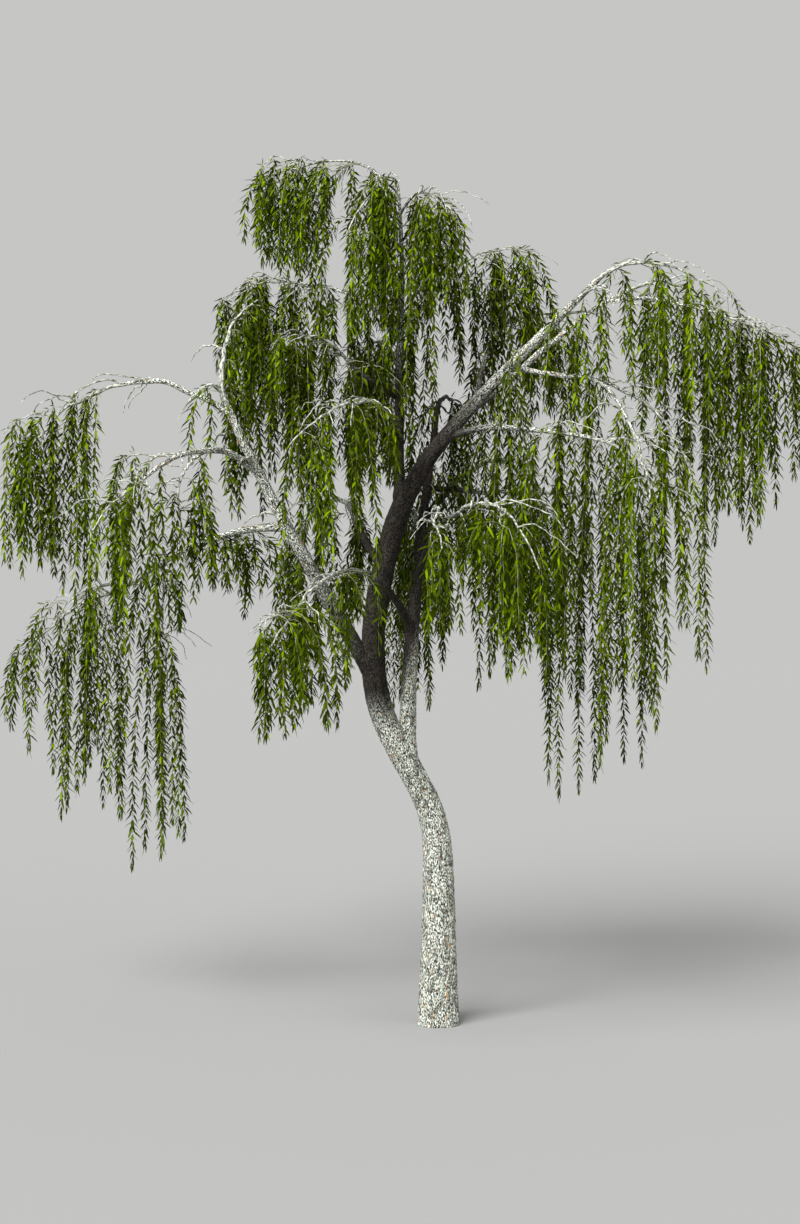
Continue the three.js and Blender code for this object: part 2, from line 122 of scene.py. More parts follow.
# Plumes that the photo shows for each mass, in its own pixels: left, right, highest and lowest foot, count
PLUMES = {
    "left_outer": [[24, 78, 540, 598, 4], [22, 58, 520, 590, 2]],
    "left_middle": [[84, 134, 540, 610, 4], [98, 124, 500, 560, 3]],
    "left_lower": [
        [236, 268, 555, 605, 5], [258, 284, 540, 590, 3], [60, 78, 740, 822, 5], [18, 38, 680, 742, 3],
        [100, 128, 720, 815, 5], [158, 172, 840, 878, 2],
    ],
    "left_inner": [[198, 216, 540, 585, 2]],
    "left_top": [[236, 264, 440, 520, 5], [248, 278, 425, 470, 4], [226, 262, 338, 372, 4]],
    "upper_left": [[240, 290, 430, 490, 7], [228, 300, 380, 440, 4], [308, 336, 350, 410, 4]],
    "top_left": [
        [250, 304, 220, 300, 6], [304, 330, 240, 310, 2], [280, 316, 270, 310, 4], [270, 300, 230, 290, 3],
        [250, 268, 215, 245, 2],
    ],
    "top_centre": [[378, 404, 260, 345, 4], [340, 372, 290, 345, 4], [376, 402, 360, 410, 3]],
    "upper_right": [
        [488, 530, 380, 430, 4], [530, 566, 370, 420, 3], [536, 562, 345, 385, 3], [458, 482, 340, 390, 3],
    ],
    "top_right": [[400, 422, 300, 400, 3], [392, 412, 250, 340, 4]],
    "upper_mid_left": [[384, 420, 400, 450, 4]],
    "mid_left": [[370, 398, 440, 492, 3]],
    "right_far": [[720, 776, 500, 552, 6], [740, 776, 460, 520, 3]],
    "right_outer": [[700, 760, 500, 552, 3], [696, 732, 470, 545, 4]],
    "right_high": [[592, 608, 380, 420, 2]],
    "left_front": [[252, 284, 670, 745, 3], [300, 348, 650, 735, 9], [346, 384, 580, 622, 4]],
    "rear_left": [[296, 318, 580, 640, 3]],
    "right_front": [[456, 484, 500, 570, 3]],
    "right_lower": [[480, 545, 620, 690, 6], [518, 540, 600, 650, 3], [478, 516, 620, 690, 2]],
    "right_middle": [[590, 612, 700, 800, 3], [562, 596, 560, 620, 4]],
    "right_rear": [[545, 580, 370, 420, 4]],
    "right_back": [[630, 655, 700, 770, 2]],
}
DEPTHS = [-2700, 2950]  # of the feet of plumes, so that they stay within the tree's own space
PHOTO_CENTRE = [400, 612]
PIXELS_AT_ONE = 1902  # of something one unit high, one unit away
CAMERA_PLACE = [-0.395, -19.5, 4.22]

# Leaves
LEAF_LENGTH = 128
LEAF_WIDTH = 26
PAIR_STEP = 34
PAIR_TURN = 73
LEAF_TILT = 50

# Trunk axis: height above the ground, shift to the right, radius
TRUNK = [
    [0, 0, 204], [500, 0, 186], [1200, 0, 163], [1850, -12, 144],
    [2220, -92, 131], [2480, -221, 126], [2730, -350, 125],
]

# Stems and main boughs: the limb each is on and the share of it where it starts, tip,
# first and last directions as heading and pitch, radii at root and tip
LIMBS = {
    "left_stem": ["trunk", 0.995, [-350, -150, 5480], [180, 54], [0, 75], [128, 104]],
    "right_stem": ["trunk", 0.96, [-20, 350, 6240], [100, 88], [60, 76], [92, 30]],
    "right_bough": ["left_stem", 0.98, [1540, -900, 7470], [-20, 54], [-22, 42], [90, 27]],
    "leader": ["left_stem", 0.95, [-410, 0, 8530], [120, 85], [180, 86], [56, 15]],
    "left_bough": ["left_stem", 0.33, [-2110, -600, 6260], [197, 58], [198, 66], [84, 38]],
    "left_outer": ["left_bough", 0.97, [-3110, -650, 6480], [184, 38], [180, -12], [32, 20]],
    "left_middle": ["left_bough", 0.77, [-2740, -1700, 5510], [228, 34], [230, -34], [38, 18]],
    "left_inner": ["left_middle", 0.5, [-2520, -1150, 5470], [150, -25], [170, -75], [16, 12]],
    "left_lower": ["left_bough", 0.57, [-3010, 400, 4650], [156, 6], [153, -26], [46, 25]],
    "left_trailing": ["left_lower", 0.86, [-2950, 1000, 4330], [105, -5], [100, -55], [19, 12]],
    "left_front": ["right_stem", 0.37, [-1050, -1700, 4550], [242, 50], [245, -14], [42, 18]],
    "mid_left": ["leader", 0.17, [-760, -1300, 6230], [252, 42], [250, -12], [30, 16]],
    "top_left": ["leader", 0.97, [-970, 450, 8950], [150, 48], [145, 6], [15, 11]],
    "top_right": ["leader", 0.93, [-140, -350, 8440], [300, 35], [312, -25], [14, 11]],
    "upper_left": ["leader", 0.57, [-1290, 500, 7660], [152, 32], [150, 10], [26, 14]],
    "upper_mid_left": ["leader", 0.33, [-1020, -350, 6860], [205, 24], [208, 46], [26, 15]],
    "upper_right": ["leader", 0.6, [280, 350, 7870], [12, 16], [30, 36], [24, 13]],
    "rear_upper": ["leader", 0.42, [-700, 1250, 7150], [100, 36], [104, 2], [26, 14]],
    "right_rear": ["right_bough", 0.4, [860, 1000, 7390], [80, 32], [62, 14], [28, 14]],
    "right_outer": ["right_bough", 0.34, [2210, 500, 7680], [24, 34], [24, 20], [38, 17]],
    "right_far": ["right_outer", 0.8, [2900, -200, 7220], [-25, 4], [-32, -24], [20, 13]],
    "right_middle": ["right_bough", 0.58, [1990, -600, 6330], [4, -8], [0, -32], [28, 15]],
    "right_drop": ["right_middle", 0.6, [1720, -1900, 5980], [285, -12], [282, -36], [18, 12]],
    "right_lower": ["right_bough", 0.24, [1460, -950, 5920], [-28, 14], [-22, -14], [38, 18]],
    "right_back": ["right_stem", 0.8, [1110, 900, 5500], [22, -4], [35, 4], [30, 17]],
    "right_front": ["right_stem", 0.52, [400, -1500, 5250], [-72, 48], [-62, 0], [34, 17]],
    "front_drop": ["right_front", 0.52, [-60, -1700, 5110], [232, 28], [255, -28], [19, 12]],
    "rear_left": ["left_stem", 0.72, [-1150, 1600, 5450], [130, 38], [112, -4], [40, 18]],
    "rear_mid": ["right_stem", 0.6, [-250, 1700, 5300], [92, 36], [90, -8], [34, 17]],
    "rear_right": ["right_stem", 0.7, [750, 1750, 5900], [58, 36], [62, 0], [34, 17]],
}
# Limbs that are one unbroken line, and the shares of each that are in it
MAIN_LINE = {"trunk": [0, 0.965], "left_stem": [0.045, 0.945], "right_bough": [0.06, 1]}

# Masses of foliage: tip of the stem, last direction of the stem, how far its strands stand out,
# their lowest height near the start of the stem and near its end, how full the mass is in the photo,
# and how many strands hang from short twigs on its bough, inside the crown
MASSES = {
    "left_outer": [[-4140, -750, 5690], [182, -62], 430, [4100, 4730], 0.8, 0],
    "left_top": [[-1830, -300, 7370], [40, 30], 420, [5500, 6300], 1.4, 0],
    "left_middle": [[-3180, -2300, 4940], [228, -58], 460, [3650, 3800], 0.6, 3],
    "left_inner": [[-2500, -1200, 4950], [250, -84], 330, [4350, 4200], 0.4, 3],
    "left_lower": [[-4470, 900, 3760], [160, -46], 460, [1800, 2850], 0.5, 3],
    "left_trailing": [[-2960, 1500, 3400], [95, -62], 380, [1280, 1700], 0.2, 3],
    "left_front": [[-1630, -2500, 3770], [228, -52], 440, [3060, 2950], 0.9, 3],
    "mid_left": [[-1400, -2200, 5740], [232, -46], 420, [4400, 4550], 0.9, 5],
    "top_left": [[-1920, 900, 8820], [160, -26], 360, [7190, 8100], 0.8, 3],
    "top_centre": [[-940, -800, 7880], [235, -62], 470, [6900, 6840], 0.8, 5],
    "top_right": [[220, -700, 8070], [318, -48], 330, [7040, 7250], 0.5, 3],
    "upper_left": [[-2300, 900, 7570], [168, -34], 420, [5730, 6710], 1.3, 4],
    "upper_mid_left": [[-1500, -700, 6870], [218, -40], 400, [4800, 5100], 1.6, 6],
    "upper_right": [[1080, 600, 7980], [18, -20], 380, [6450, 6900], 0.7, 3],
    "rear_upper": [[-1000, 2200, 6750], [108, -44], 430, [5500, 5400], 1, 5],
    "right_rear": [[1630, 1700, 7310], [42, -36], 420, [6150, 6200], 0.9, 3],
    "right_high": [[2480, -1300, 7370], [-26, -42], 400, [6300, 6000], 0.5, 1],
    "right_outer": [[2970, 1000, 7470], [34, -38], 430, [5400, 5250], 0.5, 3],
    "right_far": [[3600, -400, 6830], [-8, -52], 330, [4850, 5700], 0.6, 3],
    "right_middle": [[2520, -700, 5330], [0, -82], 400, [4300, 3450], 0.3, 3],
    "right_drop": [[1840, -2500, 5220], [284, -74], 400, [4330, 4200], 0.45, 3],
    "right_lower": [[2110, -1150, 5180], [-12, -66], 420, [3460, 2790], 0.6, 3],
    "right_back": [[2250, 1500, 5240], [22, -36], 460, [1930, 2750], 0.7, 3],
    "right_front": [[860, -2400, 4600], [-58, -54], 440, [3600, 3500], 1, 3],
    "front_drop": [[-20, -2450, 4790], [272, -54], 230, [3930, 3880], 0.4, 1],
    "rear_high": [[250, 1300, 6350], [72, -34], 430, [4650, 4500], 1, 4],
    "rear_left": [[-1750, 2800, 4900], [122, -48], 470, [3500, 3200], 1, 6],
    "rear_mid": [[-250, 2900, 4650], [96, -50], 450, [3100, 2950], 1, 6],
    "rear_right": [[1250, 2800, 5350], [62, -46], 470, [3450, 3300], 0.8, 3],
}

# Each goes on from the bough of its own name, apart from these
BOUGH_OF = {
    "left_top": "left_bough", "top_centre": "leader",
    "right_high": "right_bough", "rear_high": "right_stem",
}


# Numbers and directions


def make_random(seed):
    """Numbers that look random and are the same on every run, drawn as the source draws them."""
    state = seed

    def draw():
        nonlocal state
        state = (state * 1664525 + 1013904223) % 2**32
        return state / 2**32

    return draw


def next_seed(draw):
    return int(draw.integers(1 << 30))


def mix(start, end, share):
    return start + (end - start) * share


def smooth(value):
    value = np.clip(value, 0, 1)
    return value * value * (3 - 2 * value)


def rise(value, start, end):
    """From 0 at the start to 1 at the end, which may lie below the start."""
    return smooth((value - start) / (end - start))


def unit(vectors):
    return vectors / np.linalg.norm(vectors, axis=-1, keepdims=True)


def direction(heading, pitch):
    """Unit vector of a heading around the tree and a pitch above level, in degrees."""
    turn, lift = np.radians(heading), np.radians(pitch)
    return np.array([np.cos(lift) * np.cos(turn), np.cos(lift) * np.sin(turn), np.sin(lift)])


def heading_of(vector):
    return np.degrees(np.arctan2(vector[1], vector[0]))


def lattice(cells):
    """A number from 0 to 1 for each whole-numbered cell of space."""
    x, y, z = np.moveaxis(cells.astype(np.int64), -1, 0)
    mixed = (x * 374761393 + y * 668265263 + z * 974634777) & 0xFFFFFFFF
    mixed = ((mixed ^ (mixed >> 13)) * 1274126177) & 0xFFFFFFFF
    return ((mixed ^ (mixed >> 16)) & 0xFFFF) / 65535


def noise(points):
    """Smooth noise from 0 to 1, about one bump for each unit of length."""
    base = np.floor(points)
    part = smooth(points - base)
    total = np.zeros(points.shape[:-1])
    for corner in np.ndindex(2, 2, 2):
        corner = np.array(corner)
        weight = np.prod(np.where(corner == 1, part, 1 - part), axis=-1)
        total += weight * lattice(base + corner)
    return total


# Curves


def step_of(share, steps):
    """The step of a line that a share of it lies in, and how far into that step."""
    place = np.clip(np.asarray(share, float), 0, 1) * steps
    low = np.minimum(np.floor(place).astype(int), steps - 1)
    return low, (place - low)[..., None]


class Bezier:
    """Cubic curve from a root to a tip."""

    def __init__(self, *corners):
        self.corners = np.array(corners, float)

    def at(self, share):
        share = np.asarray(share, float)[..., None]
        rest = 1 - share
        root, after_root, before_tip, tip = self.corners
        bend = 3 * rest * rest * share * after_root + 3 * rest * share * share * before_tip
        return rest**3 * root + bend + share**3 * tip


class Spline:
    """Smooth line through evenly shared points."""

    def __init__(self, points):
        points = np.array(points, float)
        before, after = 2 * points[0] - points[1], 2 * points[-1] - points[-2]
        self.points = np.vstack([before, points, after])

    def at(self, share):
        low, part = step_of(share, len(self.points) - 3)
        before, start, end, after = (self.points[low + offset] for offset in range(4))
        leave, arrive = (end - before) / 2, (after - start) / 2
        bend = 3 * (end - start) - 2 * leave - arrive
        return start + leave * part + bend * part**2 + (2 * (start - end) + leave + arrive) * part**3


# The three waves of a crooked line: how much flatter than the first, fewest and most turns
WAVE_FLATNESS = [1.0, 1.7, 2.8]
WAVE_TURNS = [0.7, 1.8, 3.6], [1.5, 3.2, 5.6]


class Crooked:
    """A curve with the small crooks of real growth, whose root has moved with the limb it is on."""

    def __init__(self, curve, crook, seed, root=None):
        draw = np.random.default_rng(seed)
        self.curve = curve
        self.shift = np.zeros(3) if root is None else root - curve.at(0)
        self.waves = draw.normal(0, crook, (3, 3)) / np.array(WAVE_FLATNESS)[:, None]
        self.pace = 2 * np.pi * draw.uniform(*WAVE_TURNS)
        self.phase = draw.uniform(0, 2 * np.pi, 3)

    def at(self, share):
        part = np.asarray(share, float)[..., None]
        crooks = np.sin(part * self.pace + self.phase) @ self.waves
        return self.curve.at(share) + self.shift * (1 - part) ** 2 + 4 * part * (1 - part) * crooks


class Traced:
    """A line through many close points."""

    def __init__(self, points):
        self.points = np.asarray(points, float)

    def at(self, share):
        low, part = step_of(share, len(self.points) - 1)
        return mix(self.points[low], self.points[low + 1], part)


def along(path, share, step=1e-3):
    share = np.asarray(share, float)
    ahead = path.at(np.minimum(1, share + step))
    behind = path.at(np.maximum(0, share - step))
    return unit(ahead - behind)


def limb_curve(root, tip, out, end):
    """Curve from a root to a tip that keeps its first and last directions for a share of its reach."""
    root, tip = np.array(root, float), np.array(tip, float)
    hold = np.linalg.norm(tip - root) * BEND
    return Bezier(root, root + direction(*out) * hold, tip - direction(*end) * hold, tip)


def length_table(path, count=80):
    """Shares of a path and the length from its root to each."""
    shares = np.linspace(0, 1, count)
    steps = np.linalg.norm(np.diff(path.at(shares), axis=0), axis=1)
    return shares, np.concatenate([[0], np.cumsum(steps)])


def even_shares(path, step):
    """Shares of a path that lie about step millimetres apart, and the length from the root to each."""
    shares, lengths = length_table(path)
    count = max(4, int(round(lengths[-1] / step)) + 1)
    places = np.linspace(0, lengths[-1], count)
    return np.interp(places, lengths, shares), places


# Limbs


def trunk_limb():
    curve = Spline([[shift, 0, height] for height, shift, _ in TRUNK])
    radii = np.array([radius for _, _, radius in TRUNK], float)
    places = np.linspace(0, 1, len(radii))
    return SimpleNamespace(
        name="trunk", curve=curve, path=curve, radius=lambda share: np.interp(share, places, radii)
    )


def make_limb(name, row, limbs, seed):
    on, start, tip, out, end, radii = row
    parent = limbs[on]
    curve = limb_curve(parent.curve.at(start), tip, out, end)
    crook = 0 if name in MAIN_LINE else CROOK["limb"]
    return SimpleNamespace(
        name=name, on=on, start=start, end=end, curve=curve,
        path=Crooked(curve, crook, seed, parent.path.at(start)),
        radius=lambda share: mix(*radii, np.asarray(share, float)),
        level=direction(out[0] + 90, 0),
    )


def make_limbs():
    limbs = {"trunk": trunk_limb()}
    for number, (name, row) in enumerate(LIMBS.items()):
        limbs[name] = make_limb(name, row, limbs, SEEDS["limb"] + number)
    for limb in limbs.values():
        limb.line = limb.curve.at(np.linspace(0, 1, 9))
    return limbs


# Masses and the space of each


def make_mass(name, row, limbs, number):
    tip, end, spread, hem, fullness, on_bough = row
    bough = limbs[BOUGH_OF.get(name, name)]
    root = bough.curve.at(1) + along(bough.curve, 1) * GAP
    curve = limb_curve(root, tip, bough.end, end)
    line = curve.at(np.linspace(0, 1, 6))
    return SimpleNamespace(
        name=name, number=number, bough=bough, curve=curve, line=line,
        spread=spread, hem=hem, fullness=fullness, on_bough=on_bough,
        path=Crooked(curve, CROOK["stem"], SEEDS["stem"] + number, bough.path.at(1)),
        level=direction(bough.end[0] + 90, 0),
        top=line[:, 2].max() + SPACE_ABOVE,
        bottom=min(hem) - SPACE_BELOW,
    )


def line_distance(points, line):
    """Distance from each point to a line of points, in as many dimensions as both have."""
    starts, steps = line[:-1], np.diff(line, axis=0)
    offsets = points[:, None, :] - starts[None, :, :]
    share = np.sum(offsets * steps, axis=-1) / np.sum(steps * steps, axis=-1)
    gaps = offsets - np.clip(share, 0, 1)[..., None] * steps
    return np.linalg.norm(gaps, axis=-1).min(axis=-1)


def in_own_space(points, mass, masses, margin=SPACE_MARGIN):
    """Whether points lie nearer to a mass's stem, seen from above, than to any other at their height."""
    own = line_distance(points[:, :2], mass.line[:, :2])
    height = points[:, 2]
    for other in masses:
        level_with = (height <= other.top) & (height >= other.bottom)
        if other is mass or not level_with.any():
            continue
        nearer = line_distance(points[:, :2], other.line[:, :2]) < own + 2 * margin
        if (level_with & nearer).any():
            return False
    return True


def clear_of_limbs(points, limbs, clear=LIMB_CLEAR):
    for limb in limbs.values():
        if line_distance(points, limb.line).min() < limb.radius(0) + clear:
            return False
    return True


def clear_of_strands(points, strands, room):
    return all(line_distance(points, strand.line).min() >= room for strand in strands)


def seen_at(points):
    """Pixels of the photo where points show."""
    across, depth, up = (points - np.array(CAMERA_PLACE) / MM).T
    middle, level = PHOTO_CENTRE
    return middle + across / depth * PIXELS_AT_ONE, level - up / depth * PIXELS_AT_ONE


def place_at(across, down, depth):
    """Place of a pixel of the photo at a given depth behind the front."""
    eye = np.array(CAMERA_PLACE) / MM
    scale = (depth - eye[1]) / PIXELS_AT_ONE
    aside = (across - PHOTO_CENTRE[0]) * scale
    above = (PHOTO_CENTRE[1] - down) * scale
    return np.array([eye[0] + aside, depth, eye[2] + above])


def inside(seen, left, right, top, bottom):
    across, down = seen
    return (across > left) & (across < right) & (down > top) & (down < bottom)


def leaves_wood_bare(points):
    """Whether a strand hides none of the boughs that the photo shows bare."""
    seen = seen_at(points)
    near = points[:, 1] < IN_FRONT
    return not any((near & inside(seen, *place)).any() for place in BARE_WOOD)


def leaves_gaps(points):
    """Whether a strand leaves open what the photo shows open. Thin places keep some columns of strands."""
    seen = seen_at(points)
    for number, (*place, filled) in enumerate(THIN):
        hidden = inside(seen, *place)
        if hidden.any():
            column = int(seen[0][hidden].mean() // COLUMN)
            if lattice(np.array([column, number, COLUMN_SEED])) >= filled:
                return False
    return leaves_wood_bare(points)


# Strands

STRAND_PITCH = 20  # degrees above level at which a strand leaves
ARCH = 0.75  # share of its reach over which it arches
PLUMB = 0.65  # share of its drop over which it falls straight
LOWERED = 0.4  # share of an added length by which the plumb part starts lower
CHECKED = np.array([0.15, 0.3, 0.45, 0.6, 0.75, 0.9, 1])  # shares where its room is measured
BARE_TOP = 0.1


def hanging_curve(root, heading, away, foot_height):
    """It leaves sideways, arches over and falls straight to its lowest point."""
    foot = root + direction(heading, 0) * away
    foot[2] = foot_height
    drop = root[2] - foot_height
    after_root = root + direction(heading, STRAND_PITCH) * away * ARCH
    before_foot = foot + np.array([0, 0, drop * PLUMB])
    return Bezier(root, after_root, before_foot, foot)


def make_strand(curve, heading, seed, root=None, hang=0.0, radii=STRAND_RADII, bare=BARE_TOP):
    """A strand along a curve, with crooks and longer by hang. root is where its limb has moved to."""
    longer = Bezier(*curve.corners)
    longer.corners[2, 2] -= hang * LOWERED
    longer.corners[3, 2] -= hang
    return SimpleNamespace(
        line=curve.at(CHECKED), path=Crooked(longer, CROOK["strand"], seed, root),
        level=direction(heading + 90, 0), radii=radii, bare=bare,
    )


def growths(count, draw_one, fits):
    """Up to a count of growths, each the first of a few tries that came out and fits."""
    for index in range(count):
        for _ in range(STRAND_TRIES):
            grown = draw_one(index)
            if grown is not None and fits(grown):
                yield grown
                break


def hangs_free(line, limbs, strands):
    return clear_of_limbs(line, limbs, FINE_CLEAR) and clear_of_strands(line, strands, FINE_APART)


def source_strand(mass, index, random):
    """A strand as the source draws it, or none where it would be too short."""
    rule = SOURCE_RULE
    share = mix(rule.first, 1, min(1, (index + random()) / STRANDS_PER_MASS))
    root = mass.curve.at(share)
    side = 1 if index % 2 == 0 else -1
    heading = heading_of(along(mass.curve, share)) + side * mix(*rule.turn, random())
    away = mass.spread * mix(*rule.reach, random())
    hem = mix(*mass.hem, share) + SOURCE_HANG
    short = random() * random() * LONGEST_CUT
    foot = hem + (0 if index % 3 == 0 else short) * max(0, root[2] - hem)
    if root[2] - foot <= rule.drop:
        return None
    curve = hanging_curve(root, heading, away, foot)
    seed = SEEDS["strand"] + STRAND_SEEDS * mass.number + index
    return make_strand(curve, heading, seed, mass.path.at(share), SOURCE_HANG - FINE_HANG)


def source_strands(mass, masses, limbs):
    """The strands that the source gives a mass, drawn by the same rule and from the same seed."""
    random = make_random(SOURCE_SEED + SOURCE_SEED_STEP * mass.number)
    strands = []

    def fits(strand):
        if not in_own_space(strand.line, mass, masses) or not clear_of_limbs(strand.line, limbs):
            return False
        return clear_of_strands(strand.line[1:], strands, STRAND_APART)

    for strand in growths(STRANDS_PER_MASS, lambda index: source_strand(mass, index, random), fits):
        strands.append(strand)
    return strands


def fine_strand(mass, carrier, draw):
    """A strand of the same form from a stem or side stem, or none where it would be too short."""
    rule = FINE_RULE
    share = draw.uniform(carrier.first, 1)
    root = carrier.path.at(share)
    turn = draw.choice([-1, 1]) * draw.uniform(*rule.turn)
    heading = heading_of(along(carrier.path, share)) + turn
    away = carrier.away * draw.uniform(*rule.reach)
    low = mix(*mass.hem, mix(*carrier.stands, share)) + FINE_HANG
    short = draw.uniform(0, 1) * draw.uniform(0, 1) * rule.cut
    foot = low + short * max(0, root[2] - low)
    if root[2] - foot < rule.drop:
        return None
    curve = hanging_curve(root, heading, away, foot)
    return make_strand(curve, heading, next_seed(draw), bare=draw.uniform(*rule.bare))


def fine_strands(mass, carriers, strands, masses, limbs, draw):
    """More strands of the same form, which hang from the stem and its side stems."""
    count = round(FINE_STRANDS * mass.fullness)
    added = []

    def fits(strand):
        if not in_own_space(strand.line, mass, masses, 0) or not leaves_gaps(strand.line):
            return False
        return hangs_free(strand.line[2:], limbs, strands + added)

    def draw_one(index):
        return fine_strand(mass, carriers[index % len(carriers)], draw)

    for strand in growths(count, draw_one, fits):
        added.append(strand)
    return added


def bough_strand(bough, draw):
    """A strand on a short twig of a bough, or none where it would be too short."""
    rule = BOUGH_RULE
    root = bough.path.at(draw.uniform(*rule.start))
    heading = draw.uniform(0, 360)
    foot = max(root[2] - draw.uniform(*rule.fall), rule.floor)
    if root[2] - foot < rule.drop:
        return None
    curve = hanging_curve(root, heading, draw.uniform(*rule.reach), foot)
    return make_strand(curve, heading, next_seed(draw), bare=draw.uniform(*rule.bare))


def bough_strands(mass, everything, limbs, draw):
    """Strands along the bough itself. They only keep away from limbs, from other strands and from gaps."""
    added = []

    def fits(strand):
        line = strand.line[1:]
        return leaves_gaps(line) and hangs_free(line, limbs, everything + added)

    for strand in growths(mass.on_bough, lambda _: bough_strand(mass.bough, draw), fits):
        added.append(strand)
    return added


def plume_strand(carriers, place, draw):
    """A strand that falls to a place of the photo, or none where it is out of a carrier's reach."""
    rule = PLUME_RULE
    left, right, high, low = place
    carrier = carriers[draw.integers(len(carriers))]
    root = carrier.path.at(draw.uniform(carrier.first, 1))
    depth = np.clip(root[1] + draw.uniform(*rule.depth), *DEPTHS)
    foot = place_at(draw.uniform(left, right), draw.uniform(high, low), depth)
    step = foot[:2] - root[:2]
    away = np.hypot(*step)
    if not rule.reach[0] < away < rule.reach[1] or root[2] - foot[2] < rule.drop:
        return None
    heading = heading_of(step)
    curve = hanging_curve(root, heading, away, foot[2])
    return make_strand(curve, heading, next_seed(draw), bare=draw.uniform(*rule.bare))


def plume_strands(mass, carriers, everything, limbs, draw):
    """The plumes that the photo shows for this mass, each from a limb or twig within reach of it."""
    added = []

    def fits(strand):
        return leaves_wood_bare(strand.line) and hangs_free(strand.line[2:], limbs, everything + added)

    for *place, count in PLUMES.get(mass.name, []):
        wanted = len(added) + count
        for _ in range(count * PLUME_RULE.tries):
            if len(added) == wanted:
                break
            strand = plume_strand(carriers, place, draw)
            if strand is not None and fits(strand):
                added.append(strand)
    return added


def companion_strands(strand, fullness, draw):
    """Finer twigs that fork from a strand near its top and hang beside it, as one plume with it."""
    rule = COMPANION_RULE
    foot = strand.path.at(1)
    added = []
    for share in COMPANIONS:
        root = strand.path.at(draw.uniform(*rule.start))
        drop = root[2] - foot[2]
        if draw.uniform() > share * min(1, fullness) or drop < rule.drop:
            break
        heading = draw.uniform(0, 360)
        low = foot[2] + drop * draw.uniform(*rule.cut)
        curve = hanging_curve(root, heading, draw.uniform(*rule.reach), low)
        added.append(make_strand(curve, heading, next_seed(draw), radii=rule.radii, bare=rule.bare))
    return added


def side_stem(mass, index, draw):
    """A thin bough that forks from a stem or the end of its bough, reaches outward and droops."""
    rule = SIDE_RULE
    on_bough = index % 3 == 1
    carrier = mass.bough.path if on_bough else mass.path
    share = draw.uniform(*(rule.on_bough if on_bough else rule.on_stem))
    root = carrier.at(share)
    turn = (1 if index % 2 == 0 else -1) * draw.uniform(*rule.turn)
    heading = heading_of(along(carrier, share)) + turn
    reach = mass.spread * draw.uniform(*rule.reach)
    tip = root + direction(heading, 0) * reach
    tip[2] += reach * draw.uniform(*rule.fall)
    out = [heading, draw.uniform(*rule.rise)]
    end = [heading, draw.uniform(*rule.droop)]
    return SimpleNamespace(
        curve=limb_curve(root, tip, out, end),
        level=direction(heading + 90, 0),
        thick=mass.stem_radius(0 if on_bough else share) * rule.thick,
        first=rule.first,
        away=mass.spread * rule.away,
        stands=rule.hem_on_bough if on_bough else [share, min(1, share + rule.hem_on_stem)],
        leafy=index < SIDE_STEMS,
    )


def side_stems(mass, masses, limbs, draw):
    """The thin boughs of a mass. The last few stay bare."""

    def fits(stem):
        line = stem.curve.at(np.linspace(0.25, 1, 5))
        return in_own_space(line, mass, masses, 0) and clear_of_limbs(line[2:], limbs, FINE_CLEAR)

    stems = []
    for stem in growths(SIDE_STEMS + WHIPS, lambda index: side_stem(mass, index, draw), fits):
        stem.path = Crooked(stem.curve, CROOK["side"], next_seed(draw))
        stems.append(stem)
    return stems


# Meshes from arrays

TIP_LENGTH = 0.6  # of a tube's pointed end, as a share of its last radius


def add_object(name, data):
    made = bpy.data.objects.new(name, data)
    bpy.context.scene.collection.objects.link(made)
    return made


def fill(collection, name, values, kind=np.float32):
    collection.foreach_set(name, np.asarray(values, kind).ravel())


class Parts:
    """Vertices and faces of one piece, gathered before they become a mesh."""

    def __init__(self):
        self.vertices, self.faces, self.slots, self.grain, self.painted_shade = [], [], [], [], []
        self.count = 0

    def add(self, vertices, faces, slots, grain=0, painted_shade=0):
        self.vertices.append(vertices * MM)
        self.faces.append(faces + self.count)
        self.slots.append(np.broadcast_to(slots, len(faces)))
        self.grain.append(np.broadcast_to(grain, (len(vertices), 3)) * MM)
        self.painted_shade.append(np.broadcast_to(painted_shade, len(vertices)))
        self.count += len(vertices)

    def make(self, name, materials, bark=False):
        vertices, faces = np.vstack(self.vertices), np.vstack(self.faces)
        mesh = bpy.data.meshes.new(name)
        mesh.vertices.add(len(vertices))
        fill(mesh.vertices, "co", vertices)
        mesh.loops.add(faces.size)
        fill(mesh.loops, "vertex_index", faces, np.int32)
        mesh.polygons.add(len(faces))
        fill(mesh.polygons, "loop_start", np.arange(0, faces.size, 3), np.int32)
        mesh.update(calc_edges=True)
        for material in materials:
            mesh.materials.append(material)
        fill(mesh.polygons, "material_index", np.concatenate(self.slots), np.int32)
        fill(mesh.polygons, "use_smooth", np.ones(len(faces)), bool)
        if bark:
            grain = mesh.attributes.new("grain", "FLOAT_VECTOR", "POINT")
            fill(grain.data, "vector", np.vstack(self.grain))
            # Painted shade of the bark inside the crown, which the bark shaders read
            painted_shade = mesh.attributes.new("painted_shade", "FLOAT", "POINT")
            fill(painted_shade.data, "value", np.concatenate(self.painted_shade))
        return add_object(name, mesh)


def tube_faces(rings, sides):
    """Triangles of a closed tube whose first and last rings are closed by the last two vertices."""
    low = np.arange(rings - 1)[:, None] * sides
    here = np.arange(sides)[None, :]
    after = (here + 1) % sides
    first, second = (low + here).ravel(), (low + after).ravel()
    third, fourth = second + sides, first + sides
    walls = np.concatenate([np.stack([first, second, third], 1), np.stack([first, third, fourth], 1)])
    foot, tip = rings * sides, rings * sides + 1
    ring, following = here.ravel(), after.ravel()
    last = (rings - 1) * sides
    foot_cap = np.stack([np.full(sides, foot), following, ring], 1)
    tip_cap = np.stack([np.full(sides, tip), ring + last, following + last], 1)
    return np.concatenate([walls, foot_cap, tip_cap])


